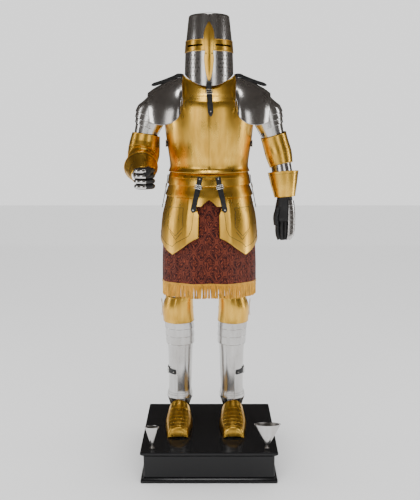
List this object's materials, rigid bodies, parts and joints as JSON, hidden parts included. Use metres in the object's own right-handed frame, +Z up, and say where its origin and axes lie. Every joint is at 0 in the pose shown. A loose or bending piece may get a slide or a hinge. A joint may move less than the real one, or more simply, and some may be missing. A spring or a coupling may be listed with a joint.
{
  "type": "suit of plate armour on a display plinth",
  "caption": "Empty full plate armour with closed great helm, gauntlets, brocade skirt and foot plates, standing on a black plinth.",
  "frame": {"origin": "centre of the plinth's underside, where it rests on the floor", "axes": "+Z up, the figure faces -Y, the wearer's left hand is towards +X"},
  "size_m": [0.7328, 0.5622, 1.977],
  "materials": {
    "steel": "polished steel sheet",
    "brass": "polished brass sheet, lightly brushed",
    "leather": "black strap leather",
    "buckle": "nickel plated",
    "brocade": "dark red brocade with coppery scrolls",
    "fringe": "gold thread fringe",
    "lacquer": "gloss black lacquer",
    "frame": "satin grey paint"
  },
  "bodies": {
    "root": {"plinth_base": "lacquer", "plinth_body": "lacquer", "plinth_top": "lacquer", "tip_rest_R": "steel", "tip_rest_L": "steel", "helm_skull": "steel", "helm_face": "steel", "helm_back": "steel", "pauldron_R": "steel", "pauldron_L": "steel", "shoulder_lames_R": "steel", "shoulder_lames_L": "steel", "rerebrace_R": "steel", "rerebrace_L": "steel", "vambrace_R": "steel", "vambrace_L": "steel", "hand_scales_R": "steel", "hand_scales_L": "steel", "cuisse_R": "steel", "cuisse_L": "steel", "knee_lames_R": "steel", "knee_lames_L": "steel", "greave_R": "steel", "greave_L": "steel", "stand_frame": "frame", "helm_band": "brass", "helm_bar": "brass", "breastplate": "brass", "backplate": "brass", "fauld_upper": "brass", "fauld_lower": "brass", "culet": "brass", "tasset_R": "brass", "tasset_L": "brass", "couter_R": "brass", "couter_L": "brass", "cuff_R": "brass", "cuff_L": "brass", "poleyn_R": "brass", "poleyn_L": "brass", "sabaton_R": "brass", "sabaton_L": "brass", "helm_strap": "leather", "side_strap_R": "leather", "side_strap_L": "leather", "shoulder_strap_R": "leather", "shoulder_strap_L": "leather", "fauld_strap_R": "leather", "fauld_strap_L": "leather", "hip_strap_R": "leather", "hip_strap_L": "leather", "glove_R": "leather", "glove_L": "leather", "greave_strap_R": "leather", "greave_strap_L": "leather", "helm_buckle": "buckle", "skirt": "brocade", "fringe": "fringe"}
  },
  "joints": []
}
